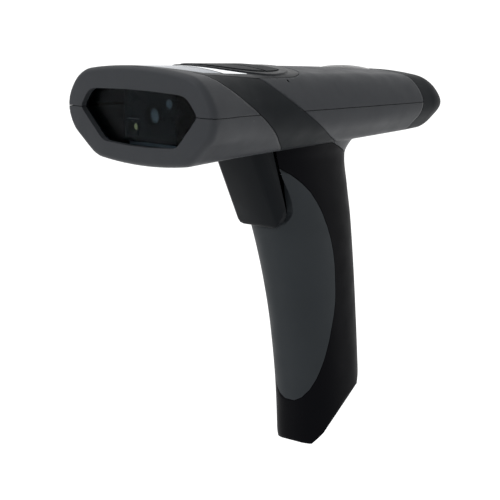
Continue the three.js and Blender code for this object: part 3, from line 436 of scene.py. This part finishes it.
def bump(nodes, links, height, distance, strength=1.0, normal=None):
    node = nodes.new("ShaderNodeBump")
    node.inputs["Distance"].default_value = distance
    node.inputs["Strength"].default_value = strength
    links.new(height, node.inputs["Height"])
    if normal is not None:
        links.new(normal, node.inputs["Normal"])
    return node.outputs["Normal"]


def moulded(name, color, roughness, grain=0.00035, depth=0.000012, mottle=0.05, specular=0.12):
    """Injection-moulded plastic: a fine spark-eroded grain, faint mottling and uneven gloss."""
    material, nodes, links, shader, place = new_material(name)
    cloud = spread(nodes, links, noise(nodes, links, place, 55), 0, 1)
    links.new(tinted(nodes, links, color, cloud, mottle), shader.inputs["Base Color"])
    uneven = noise(nodes, links, place, 130)
    links.new(spread(nodes, links, uneven, roughness - 0.05, roughness + 0.05), shader.inputs["Roughness"])
    shader.inputs["Specular IOR Level"].default_value = specular
    fine = noise(nodes, links, place, 1 / grain, 2)
    links.new(bump(nodes, links, fine, depth), shader.inputs["Normal"])
    return material


def soft_touch(name, color, roughness):
    """Rubbery over-moulding: matt, with a little sheen and a very fine grain."""
    material = moulded(name, color, roughness, grain=0.00028, depth=0.000008, mottle=0.07, specular=0.06)
    shader = next(n for n in material.node_tree.nodes if n.type == "BSDF_PRINCIPLED")
    shader.inputs["Sheen Weight"].default_value = 0.015
    shader.inputs["Sheen Roughness"].default_value = 0.4
    return material


def glossy(name, color, roughness, coat=0.0, emission=0.0, specular=0.5):
    """Smooth plastic with faint fingerprints in its gloss."""
    material, nodes, links, shader, place = new_material(name)
    cloud = spread(nodes, links, noise(nodes, links, place, 90), 0, 1)
    links.new(tinted(nodes, links, color, cloud, 0.03), shader.inputs["Base Color"])
    smears = noise(nodes, links, place, 320, 5)
    links.new(spread(nodes, links, smears, roughness * 0.7, roughness * 1.4), shader.inputs["Roughness"])
    links.new(bump(nodes, links, noise(nodes, links, place, 900), 0.000003), shader.inputs["Normal"])
    shader.inputs["Specular IOR Level"].default_value = specular
    shader.inputs["Coat Weight"].default_value = coat
    shader.inputs["Coat Roughness"].default_value = 0.05
    if emission:
        shader.inputs["Emission Color"].default_value = (*color, 1)
        shader.inputs["Emission Strength"].default_value = emission
    return material


def clear_window(name, tint):
    """A thin flat window: it lets most light straight through, and reflects more at a glancing angle."""
    material, nodes, links, shader, place = new_material(name)
    nodes.remove(shader)
    through = nodes.new("ShaderNodeBsdfTransparent")
    through.inputs["Color"].default_value = (*tint, 1)
    mirror = nodes.new("ShaderNodeBsdfGlossy")
    links.new(spread(nodes, links, noise(nodes, links, place, 260, 4), 0.02, 0.07), mirror.inputs["Roughness"])
    gloss = nodes.new("ShaderNodeFresnel")
    gloss.inputs["IOR"].default_value = 1.12
    mixed = nodes.new("ShaderNodeMixShader")
    links.new(gloss.outputs[0], mixed.inputs["Fac"])
    links.new(through.outputs[0], mixed.inputs[1])
    links.new(mirror.outputs[0], mixed.inputs[2])
    links.new(mixed.outputs[0], nodes["Material Output"].inputs["Surface"])
    return material


def metal(name, color, roughness):
    """Rolled metal with fine lines along it."""
    material, nodes, links, shader, place = new_material(name)
    shader.inputs["Metallic"].default_value = 1
    shader.inputs["Base Color"].default_value = (*color, 1)
    stretch = nodes.new("ShaderNodeMapping")
    stretch.inputs["Scale"].default_value = (1, 12, 12)
    links.new(place, stretch.inputs["Vector"])
    lines = noise(nodes, links, stretch.outputs[0], 400, 4)
    links.new(spread(nodes, links, lines, roughness - 0.08, roughness + 0.1), shader.inputs["Roughness"])
    links.new(bump(nodes, links, lines, 0.000004), shader.inputs["Normal"])
    return material


def circuit_board(name, color):
    """Green solder mask over faint raised tracks."""
    material, nodes, links, shader, place = new_material(name)
    tracks = nodes.new("ShaderNodeTexBrick")
    tracks.inputs["Scale"].default_value = 260
    tracks.inputs["Mortar Size"].default_value = 0.06
    tracks.inputs["Color1"].default_value = (*[c * 1.3 for c in color], 1)
    tracks.inputs["Color2"].default_value = (*color, 1)
    tracks.inputs["Mortar"].default_value = (*[c * 0.6 for c in color], 1)
    links.new(place, tracks.inputs["Vector"])
    links.new(tracks.outputs["Color"], shader.inputs["Base Color"])
    links.new(spread(nodes, links, noise(nodes, links, place, 300), 0.3, 0.5), shader.inputs["Roughness"])
    links.new(bump(nodes, links, tracks.outputs["Fac"], 0.00003), shader.inputs["Normal"])
    return material


MATERIALS = {
    "housing": moulded("grey_housing", (0.0255, 0.0275, 0.0310), 0.44),
    "soft_black": soft_touch("dark_soft_touch", (0.0050, 0.0065, 0.0080), 0.5),
    "bezel": moulded("dark_bezel", (0.0085, 0.0100, 0.0120), 0.38),
    "grip": moulded("grey_grip", (0.0168, 0.0200, 0.0228), 0.5, specular=0.1),
    "handle": moulded("black_handle", (0.0014, 0.0015, 0.0023), 0.45, specular=0.03),
    "trigger": moulded("black_trigger", (0.0042, 0.0052, 0.0064), 0.42, specular=0.05),
    "key": soft_touch("rubber_key", (0.010, 0.0115, 0.013), 0.55),
    "diffuser": glossy("white_diffuser", (0.86, 0.88, 0.9), 0.3, emission=0.25),
    "status_window": glossy("status_window", (0.20, 0.225, 0.26), 0.15, specular=0.12),
    "smoky_lens": glossy("smoky_lens", (0.005, 0.006, 0.006), 0.2, coat=0.1, specular=0.3),
    "glass": clear_window("scan_glass", (0.62, 0.67, 0.70)),
    "inner_black": moulded("inner_black", (0.0012, 0.0022, 0.0030), 0.25, specular=0.08),
    "silicone": soft_touch("grey_silicone", (0.27, 0.29, 0.30), 0.6),
    "board": circuit_board("green_board", (0.013, 0.1, 0.043)),
    "chip": moulded("black_chip", (0.009, 0.009, 0.010), 0.5),
    "phosphor": glossy("yellow_phosphor", (0.36, 0.37, 0.17), 0.35, emission=0.35),
    # The lens's pale blue-grey base colour is a painted reflection of the bright surroundings; its coat adds
    # real reflections on top.
    "lens": glossy("lens_with_painted_reflection", (0.11, 0.135, 0.145), 0.05, coat=1.0),
    "steel": metal("plain_steel", (0.49, 0.50, 0.52), 0.35),
    "brass": metal("gold_plate", (0.64, 0.38, 0.07), 0.28),
    "cell": glossy("blue_sleeve", (0.042, 0.102, 0.238), 0.3),
}

SLOT_OF = {part["node"]: part["material_slot"] for part in frame["record"]["subparts"]}
BODY_OF = {node: body for body, nodes in frame["record"]["behaviour"]["bodies"].items() for node in nodes}

for node, obj in frame["nodes"].items():
    obj.data.materials.clear()
    obj.data.materials.append(MATERIALS[SLOT_OF[node]])

# ---------------------------------------------------------------- the visible shells

FINE = 1.8  # mm, longest edge on a smooth surface

smooth_copy("upper_housing", [HEAD], FINE)
smooth_copy("lower_housing", [HEAD, COLLAR], FINE)
smooth_copy("left_band", [HEAD], FINE)
smooth_copy("right_band", [HEAD], FINE)
smooth_copy("tail_bumper", [HEAD], FINE)
smooth_copy("top_bezel", [HEAD, ISLAND], FINE)
smooth_copy("status_window", [HEAD], FINE)
smooth_copy("light_bar", [HEAD], FINE)
smooth_copy("front_key", [KEY_TOPS], FINE)
smooth_copy("rear_key", [KEY_TOPS], FINE)
smooth_copy("handle_shell", [HANDLE], FINE)
smooth_copy("front_grip", [HANDLE], FINE)


def add_mesh(name, vertices, faces, slot, body):
    mesh = bpy.data.meshes.new(name)
    mesh.from_pydata([tuple((np.array(v) - GRIP_CENTRE) * MM) for v in vertices], [], faces)
    mesh.materials.append(MATERIALS[slot])
    piece = bpy.data.objects.new(name, mesh)
    bpy.context.scene.collection.objects.link(piece)
    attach(piece, body)
    return piece


def softened_copy(node, bevel, angle):
    """A copy of a CAD node with smooth shading and its sharp edges rounded over."""
    mesh = frame["nodes"][node].data.copy()
    bm = bmesh.new()
    bm.from_mesh(mesh)
    bmesh.ops.remove_doubles(bm, verts=bm.verts, dist=WELD)
    bmesh.ops.dissolve_limit(bm, verts=bm.verts, edges=bm.edges, angle_limit=SAME_PLANE)
    for f in bm.faces:
        f.smooth = True
    bm.to_mesh(mesh)
    bm.free()
    mesh.set_sharp_from_angle(angle=math.radians(angle))
    piece = bpy.data.objects.new(node + "_soft", mesh)
    bpy.context.scene.collection.objects.link(piece)
    rounding = piece.modifiers.new("edges", "BEVEL")
    rounding.width = bevel * MM
    rounding.segments = 3
    rounding.limit_method = "ANGLE"
    rounding.angle_limit = math.radians(angle)
    rounding.harden_normals = True
    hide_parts(node)
    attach(piece, BODY_OF[node])
    return piece


LIP_DEPTH = 0.6       # mm, from the outer surface down to the lip that closes the shells' split
LIP_WIDTH = 1.8
LIP_HALF_HEIGHT = 0.7
OPENING_SIDE = 30.0   # half width of the window's opening at the split
NOSE_RING_DEPTH = 3.0 # how far back the lip is as deep as the window's opening allows
LIP_STATIONS = np.arange(8, 165, 6.0)
STEP_LENGTH = 0.1     # over which the lip narrows behind that


def add_split_lip(side):
    """The lip inside the shells that stops light and dust at their split, on one side of the head."""
    split_corner = 2
    middle = np.flatnonzero((RING_CORNER == split_corner) & (RING_STEP == 1))[0]
    stations = np.concatenate([[LIP_DEPTH, NOSE_RING_DEPTH, NOSE_RING_DEPTH + STEP_LENGTH], LIP_STATIONS])
    count = len(stations)
    outline = ring_points(stations, np.zeros(count), np.full(count, middle), np.full(count, 0.5), smooth_blend)
    vertices = []
    for y, (reach, _) in zip(stations, outline):
        outer = reach - LIP_DEPTH - (NOSE_INSET if y < NOSE_ROUND else 0)
        inner = OPENING_SIDE + LIP_DEPTH if y <= NOSE_RING_DEPTH else outer - LIP_WIDTH
        height = SPLIT_SLOPE * y
        for x in (outer, inner):
            for z in (height - LIP_HALF_HEIGHT, height + LIP_HALF_HEIGHT):
                vertices.append((side * x, y, z))
    faces = [(0, 1, 3, 2), tuple(len(vertices) - k for k in (4, 2, 1, 3))]
    for row in range(len(stations) - 1):
        a = row * 4
        for i, j in ((0, 1), (1, 3), (3, 2), (2, 0)):
            faces.append((a + i, a + 4 + i, a + 4 + j, a + j))
    name = "split_lip_left" if side > 0 else "split_lip_right"
    return add_mesh(name, vertices, faces, "inner_black", "body")


TRIGGER_REAR = ((63.1, -17.0), (73.9, -48.6))  # y and z at the ends of the trigger's straight rear edge
RIB_ACROSS = (7.0, 9.0)    # mm from the middle: inside the hollow trigger, outside its switch
RIB_HEIGHTS = (-18.0, -46.8)
RIB_AHEAD = 1.1            # how far the rib reaches into the trigger when it is released
RIB_BEHIND = 4.2           # and back to the handle's wall


def add_guide_rib(side):
    """A rib of the handle inside the hollow trigger, which guides it and closes the gap behind it."""
    (y_top, z_top), (y_low, z_low) = TRIGGER_REAR
    vertices = []
    for x in RIB_ACROSS:
        for z in RIB_HEIGHTS:
            edge = y_top + (z_top - z) * (y_low - y_top) / (z_top - z_low)
            vertices += [(side * x, edge - RIB_AHEAD, z), (side * x, edge + RIB_BEHIND, z)]
    faces = [(0, 1, 3, 2), (4, 6, 7, 5), (0, 4, 5, 1), (2, 3, 7, 6), (0, 2, 6, 4), (1, 5, 7, 3)]
    name = "guide_rib_left" if side > 0 else "guide_rib_right"
    return add_mesh(name, vertices, faces, "handle", "body")


TRIGGER_BEVEL = 0.7    # mm
TRIGGER_CREASE = 35    # degrees, above which its edges are rounded over

LINER_DEPTH = 1.1     # mm below the handle's surface
LINER_TOP = -18.0
LINER_BOTTOM = -138.0
LINER_STEP = 3.0
TRIGGER_ROOM = 5.5    # mm that the liner keeps behind the trigger's rear edge
TRIGGER_LOWEST = -60.0
BUTT_LIMIT = (92.3, -147.0)  # y and z of a line rising at 45 degrees, above the butt's rounded underside


def add_seam_liner():
    """The handle's dark inner layer, which stops light at the seams between its shells and at the neck."""
    (y_top, z_top), (y_low, z_low) = TRIGGER_REAR
    count = int((LINER_TOP - LINER_BOTTOM) / LINER_STEP)
    heights = np.linspace(LINER_TOP, LINER_BOTTOM, count)
    index = np.tile(np.arange(HANDLE_POINTS), count)
    row = np.repeat(np.arange(count, dtype=float), HANDLE_POINTS)
    points = handle_surface(row, index, np.zeros(len(row)), LINER_DEPTH, True, heights)

    def inside_handle(point):
        _, y, z = point
        edge = y_top + (z_top - z) * (y_low - y_top) / (z_top - z_low)
        behind_trigger = z < TRIGGER_LOWEST or y > edge + TRIGGER_ROOM
        return behind_trigger and z - BUTT_LIMIT[1] > y - BUTT_LIMIT[0]

    faces = []
    for r in range(count - 1):
        for i in range(HANDLE_POINTS):
            a = r * HANDLE_POINTS + i
            b = r * HANDLE_POINTS + (i + 1) % HANDLE_POINTS
            corners = (a, b, b + HANDLE_POINTS, a + HANDLE_POINTS)
            if all(inside_handle(points[k]) for k in corners):
                faces.append(corners)
    return add_mesh("seam_liner", points, faces, "inner_black", "body")


softened_copy("trigger", TRIGGER_BEVEL, TRIGGER_CREASE)
add_seam_liner()
add_guide_rib(1)
add_guide_rib(-1)
add_split_lip(1)
add_split_lip(-1)

# ---------------------------------------------------------------- stage, light and camera

FLOOR_DROP = 0.28  # the scanner is held up, so the floor lies well below it
FLOOR_SIZE = 60.0
LIGHT_TARGET = (0, 0, 0.04)
WORLD_STRENGTH = 0.92
CEILING_PLACE = (-0.35, -0.25, 1.0)
CEILING_STRENGTH = 1.3
CEILING_SOFTNESS = math.radians(70)
FRONT_BOX_PLACE = (-0.4, -1.1, 0.55)
FRONT_BOX_SIZE = 0.35
FRONT_BOX_POWER = 2.2
CAMERA_AZIMUTH = math.radians(40)
CAMERA_ELEVATION = math.radians(11.57)
CAMERA_PLACE = (0.3975, -0.5128, 0.1442)
CAMERA_LENS = 111.1
SENSOR_WIDTH = 36


def add_floor():
    bm = bmesh.new()
    bmesh.ops.create_grid(bm, x_segments=1, y_segments=1, size=FLOOR_SIZE)
    mesh = bpy.data.meshes.new("floor")
    bm.to_mesh(mesh)
    bm.free()
    floor = bpy.data.objects.new("floor", mesh)
    floor.location.z = cad_box[0][2] - FLOOR_DROP
    bpy.context.scene.collection.objects.link(floor)
    material, nodes, links, shader, place = new_material("pale_floor")
    shader.inputs["Base Color"].default_value = (0.94, 0.94, 0.94, 1)
    shader.inputs["Specular IOR Level"].default_value = 0.0
    links.new(spread(nodes, links, noise(nodes, links, place, 3), 0.85, 0.95), shader.inputs["Roughness"])
    mesh.materials.append(material)


def add_light(data, name, place):
    light = bpy.data.objects.new(name, data)
    light.location = place
    light.rotation_euler = (Vector(LIGHT_TARGET) - Vector(place)).to_track_quat("-Z", "Y").to_euler()
    bpy.context.scene.collection.objects.link(light)


def add_softbox(name, place, size, power):
    data = bpy.data.lights.new(name, "AREA")
    data.shape = "DISK"
    data.size = size
    data.energy = power
    add_light(data, name, place)


def add_overhead(name, place, strength, softness):
    """Light that falls evenly on the floor, from a wide patch of ceiling."""
    data = bpy.data.lights.new(name, "SUN")
    data.energy = strength
    data.angle = softness
    add_light(data, name, place)


def add_world(strength):
    world = bpy.data.worlds.new("studio")
    bpy.context.scene.world = world
    world.use_nodes = True
    background = world.node_tree.nodes["Background"]
    background.inputs["Color"].default_value = (1, 1, 1, 1)
    background.inputs["Strength"].default_value = strength


def add_camera():
    back = Vector((
        math.sin(CAMERA_AZIMUTH) * math.cos(CAMERA_ELEVATION),
        -math.cos(CAMERA_AZIMUTH) * math.cos(CAMERA_ELEVATION),
        math.sin(CAMERA_ELEVATION),
    ))
    data = bpy.data.cameras.new("camera")
    data.sensor_width = SENSOR_WIDTH
    data.lens = CAMERA_LENS
    camera = bpy.data.objects.new("camera", data)
    camera.location = CAMERA_PLACE
    camera.rotation_euler = (-back).to_track_quat("-Z", "Y").to_euler()
    bpy.context.scene.collection.objects.link(camera)
    bpy.context.scene.camera = camera


add_floor()
add_world(WORLD_STRENGTH)
add_overhead("ceiling", CEILING_PLACE, CEILING_STRENGTH, CEILING_SOFTNESS)
add_softbox("front_box", FRONT_BOX_PLACE, FRONT_BOX_SIZE, FRONT_BOX_POWER)
add_camera()
bpy.context.scene.view_settings.view_transform = "Standard"
